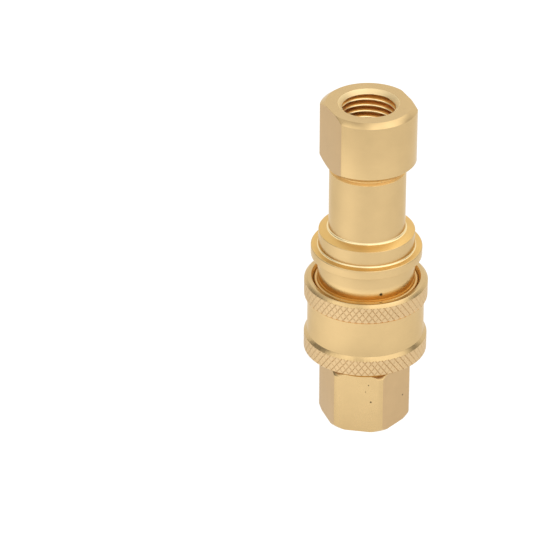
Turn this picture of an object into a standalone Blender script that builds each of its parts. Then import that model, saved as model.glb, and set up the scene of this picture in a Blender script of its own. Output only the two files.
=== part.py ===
"""Two-way shut-off, ball-lock quick disconnect coupler with 1/4 inch female ports, connected.

The coupling's axis is Z. The socket's hexagonal end stands on Z = 0 and the plug points up.
Every size below is in millimetres, and MM turns it into metres.
"""
import bmesh
import bpy
from math import cos, pi, radians, sin, sqrt
from mathutils import Matrix

MM = 0.001

# driving dimensions
LENGTH = 80.0                   # hex face to plug face
WRENCH = 18.55                  # across flats of the hex and of the plug head
SLEEVE_R = 14.0                 # over the knurled bands
NOSE_R = 11.0                   # socket body where it enters the sleeve
SOCKET_BORE_R = 7.15            # bore that takes the plug's nose
PLUG_R = 7.0                    # the plug's nose
NOSE_FACE_Z = 41.85             # front face of the socket body
GAP = 0.3                       # between pieces that touch

# female taper-pipe ports, at the thread's crest
PORT_MOUTH_R = 6.75
PORT_CREST_R = 5.95
PORT_END_R = 5.75
PORT_DEPTH = 11.0
PORT_CHAMFER = 0.8
PORT_RUNOUT = 0.5

# hexagonal adapter, with a spigot that screws into the socket body
HEX_TOP_Z = 15.05
HEX_SHARP_R = WRENCH / sqrt(3.0)
HEX_CORNER_R = 10.44            # the corners are turned down to this
HEX_FACE_R = 9.7
HEX_CHAMFER_Z = 0.83
ADAPTER_SPIGOT_R = 8.75
ADAPTER_SPIGOT_TOP_Z = 20.6
ADAPTER_GROOVE_R = 7.3
ADAPTER_GROOVE_Z = (18.3, 20.1)
ADAPTER_WAY_R = 4.2
CHAMBER_R = 6.4
CHAMBER_FLOOR_Z = 12.5

# socket body
BODY_REAR_Z = HEX_TOP_Z + GAP
BODY_REAR_R = 10.4
BODY_SOCKET_R = 9.0
BODY_SOCKET_TOP_Z = 21.0
COLLAR_R = 12.0
COLLAR_Z = (18.0, 19.5)
SEAT_HOLE_R = 4.0
SEAT_Z = (21.3, 22.9)
BORE_FLOOR_Z = 23.9
SEAL_GROOVE_R = 9.2
SEAL_GROOVE_Z = (24.8, 27.8)
BORE_CHAMFER = 0.8

# sliding sleeve
SLEEVE_Z = (17.7, 36.2)
SLEEVE_WAIST_R = 13.25
SLEEVE_WAIST_Z = (22.45, 31.45)
SLEEVE_FRONT_CHAMFER = 0.7
SLEEVE_MOUTH_R = 12.1
SLEEVE_MOUTH_CHAMFER = 0.3
SLEEVE_STOP_Z = 35.2
SLEEVE_LAND_R = 11.25
SLEEVE_LAND_Z = (28.9, 32.8)
SLEEVE_CAVITY_R = 12.3

# wire ring that stops the sleeve, in a groove of the socket body
STOP_RING_Z = 35.3
STOP_RING_R = 11.3
STOP_RING_WIRE_R = 0.5
STOP_GROOVE_R = 10.4
STOP_GROOVE_HALF = 0.75

# ball lock
BALL_COUNT = 6
BALL_R = 2.38
BALL_HOLE_R = 2.63
BALL_Z = 31.2
BALL_CIRCLE_R = 8.35
LOCK_GROOVE_R = 5.7
LOCK_GROOVE_Z = (28.45, 33.5)

# plug body
PLUG_TIP_Z = 24.2
PLUG_TIP_ROUND = 0.9
PLUG_HOLE_R = 3.4
PLUG_BORE_R = 4.6
PLUG_SEAT_Z = (25.4, 27.0)
PLUG_STEP_Z = 39.7
PLUG_WIDE_BORE_R = 6.2
FLANGE_2_R = 12.58
FLANGE_2_Z = (NOSE_FACE_Z + GAP, 44.35)
FLANGE_1_R = 10.87
FLANGE_1_RIM_Z = 48.2
FLANGE_1_CROWN_Z = 48.9
NECK_R = 8.62
NECK_FILLET = 0.7
NECK_TOP_Z = 64.2
NECK_CHAMFER = 0.45
HEAD_SOCKET_R = 7.3
HEAD_SOCKET_FLOOR_Z = 57.3

# plug head, with a spigot that screws into the neck
HEAD_R = 10.87
HEAD_Z = (65.1, LENGTH)
HEAD_FACE_R = 9.58
HEAD_CHAMFER_Z = 0.9
HEAD_FLOOR_R = 9.2
HEAD_FLOOR_RISE = 1.4
HEAD_RELIEF_R = 8.15
HEAD_SPIGOT_R = 7.0
HEAD_SPIGOT_END_Z = 57.6
HEAD_GROOVE_R = 5.85
HEAD_GROOVE_Z = (58.85, 60.35)
HEAD_WAY_R = 4.8
HEAD_TURN = 34.0                # degrees from +X to a wrench flat's normal

# valves: coupled, each poppet is held VALVE_LIFT off its seat
VALVE_LIFT = 1.125
SEAT_GAP = 0.1
SOCKET_DISC_R = 5.6
SOCKET_DISC_Z = (19.0, 19.7)
SOCKET_NECK_R = 4.63
SOCKET_PROBE_R = 2.4
SOCKET_PROBE_SHOULDER_R = 3.4
SOCKET_PROBE_TOP_Z = 24.7
SOCKET_STEM_R = 1.6
SOCKET_STEM_END_Z = 13.4
SOCKET_GUIDE_Z = (12.8, 14.3)
SOCKET_HUB_TOP_Z = 17.0
PLUG_DISC_R = 4.1
PLUG_DISC_Z = (27.85, 28.6)
PLUG_NECK_R = 2.9
PLUG_NECK_END_Z = 26.2
PLUG_PROBE_R = 2.1
PLUG_PROBE_END_Z = 25.0
PLUG_STEM_R = 1.5
PLUG_STEM_END_Z = 42.4
PLUG_GUIDE_Z = (40.0, 41.4)
PLUG_HUB_TOP_Z = 44.0
STEM_CLEARANCE = 0.3
GUIDE_HOLES = 4
GUIDE_RING_Z = 42.2
GUIDE_RING_R = 6.3
GUIDE_RING_WIRE_R = 0.4
GUIDE_GROOVE_R = 6.95
GUIDE_GROOVE_HALF = 0.65

# segments round a large turned piece, the hexagonal one, a small one, and a wire's or a seal's section
ROUND = 40
HEX_ROUND = 48                  # a multiple of six, so that the corners come out alike
INNER_ROUND = 24
SECTION = 6

for left_over in list(bpy.data.objects):
    bpy.data.objects.remove(left_over, do_unlink=True)

parts = bpy.data.collections.new("quick_disconnect_coupler")
cutters = bpy.data.collections.new("cutters")
bpy.context.scene.collection.children.link(parts)
bpy.context.scene.collection.children.link(cutters)


def make_material(name, colour, roughness, metallic):
    """A Principled material of one colour."""
    material = bpy.data.materials.new(name)
    material.use_nodes = True
    shader = material.node_tree.nodes["Principled BSDF"]
    shader.inputs["Base Color"].default_value = (*colour, 1.0)
    shader.inputs["Roughness"].default_value = roughness
    shader.inputs["Metallic"].default_value = metallic
    return material


def brass(name, roughness=0.3):
    return make_material(name + "_brass", (0.74, 0.53, 0.26), roughness, 1.0)


def steel(name, roughness=0.25):
    return make_material(name + "_steel", (0.62, 0.61, 0.59), roughness, 1.0)


def rubber(name):
    return make_material(name + "_rubber", (0.02, 0.02, 0.02), 0.6, 0.0)


def add(name, data, material):
    """Puts a new part, with its material, in the object's collection."""
    piece = bpy.data.objects.new(name, data)
    data.materials.append(material)
    parts.objects.link(piece)
    return piece


def turned(name, outline, material, steps=ROUND, hollow=True):
    """Turns an outline of (radius, height) points about Z.

    A hollow outline is a closed loop, down the outside and up the bore. A solid one starts on the axis
    at the top, runs down the outside, and ends on the axis at the bottom.
    """
    sketch = bpy.data.meshes.new(name + "_outline")
    edges = [(i, i + 1) for i in range(len(outline) - 1)]
    if hollow:
        edges.append((len(outline) - 1, 0))
    sketch.from_pydata([(r * MM, 0.0, z * MM) for r, z in outline], edges, [])
    piece = add(name, sketch, material)
    screw = piece.modifiers.new("Turn", "SCREW")
    screw.axis = "Z"
    screw.angle = 2.0 * pi
    screw.steps = steps
    screw.render_steps = steps
    screw.use_merge_vertices = True
    screw.merge_threshold = 0.00001
    evaluated = piece.evaluated_get(bpy.context.evaluated_depsgraph_get())
    piece.data = bpy.data.meshes.new_from_object(evaluated)
    piece.data.name = name
    piece.modifiers.clear()
    bpy.data.meshes.remove(sketch)
    piece.data.shade_smooth()
    piece.data.set_sharp_from_angle(angle=radians(30.0))
    return piece


def arc(centre_r, centre_z, radius, start, end, count):
    """Points along an arc of an outline, with angles in degrees from outwards towards +Z."""
    angles = [radians(start + (end - start) * i / count) for i in range(count + 1)]
    return [(centre_r + radius * cos(a), centre_z + radius * sin(a)) for a in angles]


def ring(name, mean_r, wire_r, z, material, around=INNER_ROUND):
    """A ring of round section about Z, such as an O-ring or a wire ring."""
    bpy.ops.mesh.primitive_torus_add(
        major_radius=mean_r * MM,
        minor_radius=wire_r * MM,
        major_segments=around,
        minor_segments=SECTION,
        location=(0.0, 0.0, z * MM),
    )
    piece = bpy.context.object
    for collection in list(piece.users_collection):
        collection.objects.unlink(piece)
    piece.name = name
    piece.data.name = name
    piece.data.materials.append(material)
    piece.data.shade_smooth()
    parts.objects.link(piece)


def coil(name, mean_r, wire_r, low_z, high_z, turns, per_turn):
    """A steel compression spring between two flat faces, with a close turn at each end."""
    close_pitch = 2.0 * wire_r + 0.15
    height = high_z - low_z - 2.0 * wire_r
    open_pitch = (height - 2.0 * close_pitch) / (turns - 2.0)
    curve = bpy.data.curves.new(name, "CURVE")
    curve.dimensions = "3D"
    curve.bevel_depth = wire_r * MM
    curve.bevel_resolution = 2
    curve.use_fill_caps = True
    spline = curve.splines.new("POLY")
    steps = int(turns * per_turn)
    spline.points.add(steps)
    for i, point in enumerate(spline.points):
        turn = turns * i / steps
        opened = min(max(turn - 1.0, 0.0), turns - 2.0)
        z = low_z + wire_r + (turn - opened) * close_pitch + opened * open_pitch
        angle = 2.0 * pi * turn
        point.co = (mean_r * cos(angle) * MM, mean_r * sin(angle) * MM, z * MM, 1.0)
    add(name, curve, steel(name))


def cut(piece, name, build, operation="DIFFERENCE"):
    """Cuts a piece with a hidden cutter, whose mesh build(bmesh) fills."""
    mesh = bpy.data.meshes.new(name)
    shape = bmesh.new()
    build(shape)
    shape.to_mesh(mesh)
    shape.free()
    tool = bpy.data.objects.new(name, mesh)
    tool.hide_render = True
    tool.display_type = "WIRE"
    cutters.objects.link(tool)
    modifier = piece.modifiers.new(name, "BOOLEAN")
    modifier.operation = operation
    modifier.solver = "EXACT"
    modifier.object = tool


def add_bar(shape, radius, length, sides, place):
    """A closed bar along its own Z, centred on place, in millimetres."""
    bmesh.ops.create_cone(
        shape,
        cap_ends=True,
        segments=sides,
        radius1=radius * MM,
        radius2=radius * MM,
        depth=length * MM,
        matrix=place,
    )


def at(x, y, z):
    return Matrix.Translation((x * MM, y * MM, z * MM))


def port_outline(face_z, inward):
    """A port's bore from its mouth inwards. inward is 1 for a port that opens downwards, -1 upwards."""
    return [
        (PORT_MOUTH_R, face_z),
        (PORT_CREST_R, face_z + inward * PORT_CHAMFER),
        (PORT_END_R, face_z + inward * PORT_DEPTH),
    ]


def make_adapter():
    """Hexagonal end with a female port, and the spigot that screws into the socket body."""
    outside = [
        (ADAPTER_SPIGOT_R, ADAPTER_SPIGOT_TOP_Z),
        (ADAPTER_SPIGOT_R, ADAPTER_GROOVE_Z[1]),
        (ADAPTER_GROOVE_R, ADAPTER_GROOVE_Z[1]),
        (ADAPTER_GROOVE_R, ADAPTER_GROOVE_Z[0]),
        (ADAPTER_SPIGOT_R, ADAPTER_GROOVE_Z[0]),
        (ADAPTER_SPIGOT_R, HEX_TOP_Z),
        (HEX_FACE_R, HEX_TOP_Z),
        (HEX_CORNER_R, HEX_TOP_Z - HEX_CHAMFER_Z),
        (HEX_CORNER_R, HEX_CHAMFER_Z),
        (HEX_FACE_R, 0.0),
    ]
    bore = [
        *port_outline(0.0, 1.0),
        (ADAPTER_WAY_R, PORT_DEPTH + PORT_RUNOUT),
        (ADAPTER_WAY_R, CHAMBER_FLOOR_Z),
        (CHAMBER_R, CHAMBER_FLOOR_Z),
        (CHAMBER_R, ADAPTER_SPIGOT_TOP_Z),
    ]
    adapter = turned("socket_adapter", outside + bore, brass("socket_adapter"), HEX_ROUND)

    def add_hexagon(shape):
        turn = Matrix.Rotation(radians(30.0), 4, "Z")
        add_bar(shape, HEX_SHARP_R, 2.0 * LENGTH, 6, turn)

    cut(adapter, "hexagon", add_hexagon, "INTERSECT")


def make_socket_body():
    """Body of the socket: socket for the adapter, spring collar, ball holes, valve seat and bore."""
    outside = [
        (NOSE_R - GAP, NOSE_FACE_Z),
        (NOSE_R, NOSE_FACE_Z - GAP),
        (NOSE_R, STOP_RING_Z + STOP_GROOVE_HALF),
        (STOP_GROOVE_R, STOP_RING_Z + STOP_GROOVE_HALF),
        (STOP_GROOVE_R, STOP_RING_Z - STOP_GROOVE_HALF),
        (NOSE_R, STOP_RING_Z - STOP_GROOVE_HALF),
        (NOSE_R, COLLAR_Z[1]),
        (COLLAR_R, COLLAR_Z[1]),
        (COLLAR_R, COLLAR_Z[0]),
        (BODY_REAR_R, COLLAR_Z[0]),
        (BODY_REAR_R, BODY_REAR_Z),
    ]
    bore = [
        (BODY_SOCKET_R, BODY_REAR_Z),
        (BODY_SOCKET_R, BODY_SOCKET_TOP_Z),
        (CHAMBER_R, BODY_SOCKET_TOP_Z),
        (CHAMBER_R, SEAT_Z[0]),
        (SEAT_HOLE_R, SEAT_Z[1]),
        (SEAT_HOLE_R, BORE_FLOOR_Z),
        (SOCKET_BORE_R, BORE_FLOOR_Z),
        (SOCKET_BORE_R, SEAL_GROOVE_Z[0]),
        (SEAL_GROOVE_R, SEAL_GROOVE_Z[0]),
        (SEAL_GROOVE_R, SEAL_GROOVE_Z[1]),
        (SOCKET_BORE_R, SEAL_GROOVE_Z[1]),
        (SOCKET_BORE_R, NOSE_FACE_Z - BORE_CHAMFER),
        (SOCKET_BORE_R + BORE_CHAMFER, NOSE_FACE_Z),
    ]
    body = turned("socket_body", outside + bore, brass("socket_body"))

    def add_ball_holes(shape):
        middle_r = (SOCKET_BORE_R + NOSE_R) / 2.0
        lie_outwards = Matrix.Rotation(pi / 2.0, 4, "Y")
        for i in range(BALL_COUNT):
            turn = Matrix.Rotation(2.0 * pi * i / BALL_COUNT, 4, "Z")
            place = turn @ at(middle_r, 0.0, BALL_Z) @ lie_outwards
            add_bar(shape, BALL_HOLE_R, NOSE_R - SOCKET_BORE_R + 2.0, 16, place)

    cut(body, "ball_holes", add_ball_holes)


def make_sleeve():
    """Release sleeve: two bands and a waist outside; mouth, tapered stop, land and spring cavity inside."""
    rear_z, front_z = SLEEVE_Z
    outline = [
        (SLEEVE_R - SLEEVE_FRONT_CHAMFER, front_z),
        (SLEEVE_R, front_z - SLEEVE_FRONT_CHAMFER),
        (SLEEVE_R, SLEEVE_WAIST_Z[1]),
        (SLEEVE_WAIST_R, SLEEVE_WAIST_Z[1]),
        (SLEEVE_WAIST_R, SLEEVE_WAIST_Z[0]),
        (SLEEVE_R, SLEEVE_WAIST_Z[0] - (SLEEVE_R - SLEEVE_WAIST_R)),
        (SLEEVE_R, rear_z + GAP),
        (SLEEVE_R - GAP, rear_z),
        (SLEEVE_CAVITY_R + GAP, rear_z),
        (SLEEVE_CAVITY_R, rear_z + GAP),
        (SLEEVE_CAVITY_R, SLEEVE_LAND_Z[0]),
        (SLEEVE_LAND_R, SLEEVE_LAND_Z[0]),
        (SLEEVE_LAND_R, SLEEVE_LAND_Z[1]),
        (SLEEVE_MOUTH_R, SLEEVE_STOP_Z),
        (SLEEVE_MOUTH_R, front_z - SLEEVE_MOUTH_CHAMFER),
        (SLEEVE_MOUTH_R + SLEEVE_MOUTH_CHAMFER, front_z),
    ]
    turned("sleeve", outline, brass("sleeve"))


def make_balls():
    """Locking balls that share one mesh, each with its origin at its centre."""
    shape = bmesh.new()
    bmesh.ops.create_uvsphere(shape, u_segments=12, v_segments=8, radius=BALL_R * MM)
    mesh = bpy.data.meshes.new("locking_ball")
    shape.to_mesh(mesh)
    shape.free()
    mesh.shade_smooth()
    mesh.materials.append(steel("locking_ball", 0.1))
    for i in range(BALL_COUNT):
        angle = 2.0 * pi * i / BALL_COUNT
        ball = bpy.data.objects.new(f"locking_ball_{i + 1}", mesh)
        ball.location = (BALL_CIRCLE_R * cos(angle) * MM, BALL_CIRCLE_R * sin(angle) * MM, BALL_Z * MM)
        ball.rotation_euler = (0.0, 0.0, angle)
        parts.objects.link(ball)


def make_plug_body():
    """Nose with the lock groove, the two flanges and the neck, bored for the valve and the head."""
    groove_depth = PLUG_R - LOCK_GROOVE_R
    outside = [
        (NECK_R - NECK_CHAMFER, NECK_TOP_Z),
        (NECK_R, NECK_TOP_Z - NECK_CHAMFER),
        *arc(NECK_R + NECK_FILLET, FLANGE_1_CROWN_Z + NECK_FILLET, NECK_FILLET, 180.0, 270.0, 3),
        (FLANGE_1_R - GAP, FLANGE_1_RIM_Z + GAP / 2.0),
        (FLANGE_1_R, FLANGE_1_RIM_Z - GAP),
        (FLANGE_1_R, FLANGE_2_Z[1]),
        (FLANGE_2_R - GAP, FLANGE_2_Z[1]),
        (FLANGE_2_R, FLANGE_2_Z[1] - GAP),
        (FLANGE_2_R, FLANGE_2_Z[0] + GAP),
        (FLANGE_2_R - GAP, FLANGE_2_Z[0]),
        (PLUG_R, FLANGE_2_Z[0]),
        (PLUG_R, LOCK_GROOVE_Z[1]),
        (LOCK_GROOVE_R, LOCK_GROOVE_Z[1] - groove_depth),
        (LOCK_GROOVE_R, LOCK_GROOVE_Z[0] + groove_depth),
        (PLUG_R, LOCK_GROOVE_Z[0]),
        *arc(PLUG_R - PLUG_TIP_ROUND, PLUG_TIP_Z + PLUG_TIP_ROUND, PLUG_TIP_ROUND, 0.0, -90.0, 3),
    ]
    bore = [
        (PLUG_HOLE_R, PLUG_TIP_Z),
        (PLUG_HOLE_R, PLUG_SEAT_Z[0]),
        (PLUG_BORE_R, PLUG_SEAT_Z[1]),
        (PLUG_BORE_R, PLUG_STEP_Z),
        (PLUG_WIDE_BORE_R, PLUG_STEP_Z),
        (PLUG_WIDE_BORE_R, GUIDE_RING_Z - GUIDE_GROOVE_HALF),
        (GUIDE_GROOVE_R, GUIDE_RING_Z - GUIDE_GROOVE_HALF),
        (GUIDE_GROOVE_R, GUIDE_RING_Z + GUIDE_GROOVE_HALF),
        (PLUG_WIDE_BORE_R, GUIDE_RING_Z + GUIDE_GROOVE_HALF),
        (PLUG_WIDE_BORE_R, HEAD_SOCKET_FLOOR_Z),
        (HEAD_SOCKET_R, HEAD_SOCKET_FLOOR_Z),
        (HEAD_SOCKET_R, NECK_TOP_Z),
    ]
    turned("plug_body", outside + bore, brass("plug_body"))


def make_plug_head():
    """Port end of the plug, with two wrench flats, a relief under it, and its spigot."""
    floor_z, face_z = HEAD_Z
    outside = [
        (HEAD_FACE_R, face_z),
        (HEAD_R, face_z - HEAD_CHAMFER_Z),
        (HEAD_R, floor_z + HEAD_FLOOR_RISE),
        (HEAD_FLOOR_R, floor_z),
        (HEAD_RELIEF_R, floor_z),
        (HEAD_RELIEF_R, NECK_TOP_Z + GAP),
        (HEAD_SPIGOT_R, NECK_TOP_Z + GAP),
        (HEAD_SPIGOT_R, HEAD_GROOVE_Z[1]),
        (HEAD_GROOVE_R, HEAD_GROOVE_Z[1]),
        (HEAD_GROOVE_R, HEAD_GROOVE_Z[0]),
        (HEAD_SPIGOT_R, HEAD_GROOVE_Z[0]),
        (HEAD_SPIGOT_R, HEAD_SPIGOT_END_Z),
    ]
    bore = [
        (HEAD_WAY_R, HEAD_SPIGOT_END_Z),
        (HEAD_WAY_R, face_z - PORT_DEPTH - PORT_RUNOUT),
        *reversed(port_outline(face_z, -1.0)),
    ]
    head = turned("plug_head", outside + bore, brass("plug_head"))

    def add_flats(shape):
        turn = Matrix.Rotation(radians(HEAD_TURN), 4, "Z")
        size = Matrix.Diagonal((WRENCH * MM, 4.0 * HEAD_R * MM, 4.0 * LENGTH * MM, 1.0))
        bmesh.ops.create_cube(shape, size=1.0, matrix=turn @ size)

    cut(head, "wrench_flats", add_flats, "INTERSECT")


def make_guide(name, outer_r, disc_z, hub_r, hub_top_z, stem_r, holes_r, hole_r):
    """A flow spider: a disc with flow holes, and a hub above it for the poppet's stem."""
    bore_r = stem_r + STEM_CLEARANCE
    outline = [
        (hub_r, hub_top_z),
        (hub_r, disc_z[1]),
        (outer_r, disc_z[1]),
        (outer_r, disc_z[0]),
        (bore_r, disc_z[0]),
        (bore_r, hub_top_z),
    ]
    piece = turned(name, outline, brass(name), INNER_ROUND)

    def add_holes(shape):
        middle_z = (disc_z[0] + disc_z[1]) / 2.0
        for i in range(GUIDE_HOLES):
            angle = 2.0 * pi * i / GUIDE_HOLES
            place = at(holes_r * cos(angle), holes_r * sin(angle), middle_z)
            add_bar(shape, hole_r, disc_z[1] - disc_z[0] + 1.0, 12, place)

    cut(piece, name + "_flow_holes", add_holes)


def make_socket_valve():
    """The socket's shut-off valve. Its poppet's cone is parallel to the seat, which it meets going up."""
    make_guide("socket_valve_guide", 6.1, SOCKET_GUIDE_Z, 2.9, SOCKET_HUB_TOP_Z, SOCKET_STEM_R, 4.5, 1.2)
    slope = (SEAT_Z[1] - SEAT_Z[0]) / (CHAMBER_R - SEAT_HOLE_R)

    def cone_z(radius):
        return SEAT_Z[0] + (CHAMBER_R - radius) * slope - SEAT_GAP - VALVE_LIFT

    poppet = [
        (0.0, SOCKET_PROBE_TOP_Z),
        (SOCKET_PROBE_R - 0.6, SOCKET_PROBE_TOP_Z),
        (SOCKET_PROBE_R, SOCKET_PROBE_TOP_Z - 0.4),
        (SOCKET_PROBE_R, cone_z(SOCKET_PROBE_SHOULDER_R)),
        (SOCKET_PROBE_SHOULDER_R, cone_z(SOCKET_PROBE_SHOULDER_R)),
        (SOCKET_NECK_R, cone_z(SOCKET_NECK_R)),
        (SOCKET_NECK_R, SOCKET_DISC_Z[1]),
        (SOCKET_DISC_R, SOCKET_DISC_Z[1]),
        (SOCKET_DISC_R, SOCKET_DISC_Z[0]),
        (SOCKET_STEM_R, SOCKET_DISC_Z[0]),
        (SOCKET_STEM_R, SOCKET_STEM_END_Z),
        (0.0, SOCKET_STEM_END_Z),
    ]
    turned("socket_poppet", poppet, brass("socket_poppet"), INNER_ROUND, hollow=False)
    ring("socket_poppet_seal", 5.25, 0.42, SOCKET_DISC_Z[1] + 0.64, rubber("socket_poppet_seal"))
    coil("socket_valve_spring", 4.0, 0.35, SOCKET_GUIDE_Z[1] + GAP, SOCKET_DISC_Z[0] - GAP, 4.5, 12)


def make_plug_valve():
    """The plug's shut-off valve, with the wire ring that holds its guide on the step."""
    make_guide("plug_valve_guide", 5.9, PLUG_GUIDE_Z, 2.4, PLUG_HUB_TOP_Z, PLUG_STEM_R, 4.1, 1.1)
    poppet = [
        (0.0, PLUG_STEM_END_Z),
        (PLUG_STEM_R, PLUG_STEM_END_Z),
        (PLUG_STEM_R, PLUG_DISC_Z[1]),
        (PLUG_DISC_R, PLUG_DISC_Z[1]),
        (PLUG_DISC_R, PLUG_DISC_Z[0]),
        (PLUG_NECK_R, PLUG_DISC_Z[0]),
        (PLUG_NECK_R, PLUG_NECK_END_Z),
        (PLUG_PROBE_R, PLUG_NECK_END_Z),
        (PLUG_PROBE_R, PLUG_PROBE_END_Z + 0.4),
        (PLUG_PROBE_R - 0.4, PLUG_PROBE_END_Z),
        (0.0, PLUG_PROBE_END_Z),
    ]
    turned("plug_poppet", poppet, brass("plug_poppet"), INNER_ROUND, hollow=False)
    ring("plug_poppet_seal", 3.45, 0.35, PLUG_DISC_Z[0] - 0.56, rubber("plug_poppet_seal"))
    coil("plug_valve_spring", 3.3, 0.3, PLUG_DISC_Z[1] + GAP, PLUG_GUIDE_Z[0] - GAP, 8.0, 10)
    wire = steel("guide_retaining_ring")
    ring("guide_retaining_ring", GUIDE_RING_R, GUIDE_RING_WIRE_R, GUIDE_RING_Z, wire)


def make_seals():
    """The O-rings between fixed pieces, the nose's O-ring, and the backup ring in front of it."""
    ring("adapter_seal", 8.1, 0.6, sum(ADAPTER_GROOVE_Z) / 2.0, rubber("adapter_seal"))
    ring("probe_seal", 8.1, 0.8, SEAL_GROOVE_Z[0] + 1.1, rubber("probe_seal"))
    ring("head_seal", 6.6, 0.5, sum(HEAD_GROOVE_Z) / 2.0, rubber("head_seal"))
    low_z = SEAL_GROOVE_Z[1] - 0.9
    high_z = SEAL_GROOVE_Z[1] - GAP
    backup = [(8.9, high_z), (8.9, low_z), (7.4, low_z), (7.4, high_z)]
    plastic = make_material("backup_ring_plastic", (0.85, 0.84, 0.8), 0.5, 0.0)
    turned("backup_ring", backup, plastic, INNER_ROUND)


make_adapter()
make_socket_body()
make_sleeve()
make_balls()
make_plug_body()
make_plug_head()
make_socket_valve()
make_plug_valve()
make_seals()
coil("sleeve_spring", 11.65, 0.4, COLLAR_Z[1] + GAP, SLEEVE_LAND_Z[0] - GAP, 4.5, 16)
ring("sleeve_stop_ring", STOP_RING_R, STOP_RING_WIRE_R, STOP_RING_Z, brass("sleeve_stop_ring", 0.2), ROUND)
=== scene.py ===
from math import acos, cos, degrees, pi, radians, sin, tan

import bmesh
import bpy
from mathutils import Matrix, Vector


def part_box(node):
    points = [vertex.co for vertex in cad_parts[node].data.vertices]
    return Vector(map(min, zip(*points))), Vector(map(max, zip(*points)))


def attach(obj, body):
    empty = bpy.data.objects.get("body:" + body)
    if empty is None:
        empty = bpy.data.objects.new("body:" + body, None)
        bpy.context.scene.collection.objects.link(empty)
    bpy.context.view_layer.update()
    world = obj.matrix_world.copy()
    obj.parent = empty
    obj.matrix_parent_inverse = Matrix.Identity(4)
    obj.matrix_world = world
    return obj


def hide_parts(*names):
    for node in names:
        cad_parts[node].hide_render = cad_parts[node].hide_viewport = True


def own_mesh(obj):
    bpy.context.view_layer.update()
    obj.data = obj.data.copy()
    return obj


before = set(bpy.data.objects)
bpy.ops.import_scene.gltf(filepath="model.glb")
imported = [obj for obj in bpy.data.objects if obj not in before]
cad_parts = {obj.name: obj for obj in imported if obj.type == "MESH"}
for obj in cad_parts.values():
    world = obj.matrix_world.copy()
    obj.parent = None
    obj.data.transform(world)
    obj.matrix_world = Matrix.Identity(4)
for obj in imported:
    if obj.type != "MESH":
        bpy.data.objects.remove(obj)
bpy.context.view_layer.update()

MM = 0.001
TURN = 2.0 * pi

# ---------------------------------------------------------------- sizes, in millimetres


def span(node):
    """A CAD node's lowest and highest corners, in millimetres."""
    low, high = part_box(node)
    return low / MM, high / MM


SLEEVE_LOW, SLEEVE_HIGH = span("sleeve")
ADAPTER_HIGH = span("socket_adapter")[1]
BODY_LOW, BODY_HIGH = span("socket_body")
PLUG_LOW, PLUG_HIGH = span("plug_body")
HEAD_LOW, HEAD_HIGH = span("plug_head")
SPRING_LOW, SPRING_HIGH = span("sleeve_spring")

WRENCH_HALF = ADAPTER_HIGH.y            # hexagon flat to axis
HEX_TOP_Z = 15.05
HEX_CORNER_R = 10.44                    # the bar's turned corners
HEX_FACE_R = 9.7                        # where the end chamfers start
HEX_CHAMFER = 0.83
SLEEVE_R = SLEEVE_HIGH.x
WAIST_R = 13.25
BAND_CHAMFER = 0.3                      # under each knurled band
WAIST_Z = (22.45, 31.45)
HEAD_R = 10.87
HEAD_FLOOR_Z = 65.1
HEAD_TURN = 34.0                        # degrees from +X to a wrench flat's normal
NOSE_R = 11.0
NECK_R = 8.62
FLANGE_1_R = 10.87
FLANGE_2_R = 12.58
FLANGE_2_Z = (42.15, 44.35)

# knurl: diamonds round the band, their height, and the depth of the grooves
KNURL_COUNT = 60
KNURL_HEIGHT = 2.0
KNURL_DEPTH = 0.17
KNURL_GROOVE = 0.11                     # half a groove's width, as a share of one diamond
KNURL_COLUMNS = 18                      # mesh columns in one diamond
KNURL_ROWS = 22                         # mesh rows in one diamond

# taper pipe thread, as radii at the port's mouth and depths from its face
THREAD_PITCH = 1.46
THREAD_TAPER = 1.0 / 32.0               # on the radius
THREAD_HALF_CREST = 0.06
PORT_MOUTH_R = 6.8
PORT_CREST_R = 5.9
PORT_ROOT_R = 6.72
PORT_CHAMFER = 0.9
PORT_THREAD_END = 9.4
PORT_DEPTH = 11.0
THREAD_START = 50.0                     # degrees from +X to where each port's thread starts


# ---------------------------------------------------------------- mesh tools


def rounded(corners, steps=3):
    """A closed outline of (r, z) points whose corners, given as (r, z, radius), are rounded.

    A corner with radius 0 stays one point. Any other becomes steps + 1 points, so that outlines with
    the same corners have the same number of points.
    """
    points = []
    count = len(corners)
    for i, (r, z, radius) in enumerate(corners):
        if radius <= 0.0:
            points.append((r, z))
            continue
        before = corners[i - 1]
        after = corners[(i + 1) % count]
        back = Vector((before[0] - r, before[1] - z))
        ahead = Vector((after[0] - r, after[1] - z))
        room = 0.45 * min(back.length, ahead.length)
        back.normalize()
        ahead.normalize()
        half = acos(max(-1.0, min(1.0, back.dot(ahead)))) / 2.0
        reach = min(radius / max(tan(half), 1e-6), room)
        start = Vector((r, z)) + back * reach
        end = Vector((r, z)) + ahead * reach
        bisector = back + ahead
        if bisector.length < 1e-4:
            points += [tuple(start.lerp(end, k / steps)) for k in range(steps + 1)]
            continue
        bisector.normalize()
        fillet = reach * tan(half)
        centre = Vector((r, z)) + bisector * (fillet / sin(half))
        first = start - centre
        sweep = first.angle_signed(end - centre)
        for k in range(steps + 1):
            arm = first.copy()
            arm.rotate(Matrix.Rotation(-sweep * k / steps, 2))
            points.append(tuple(centre + arm))
    return points


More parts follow.
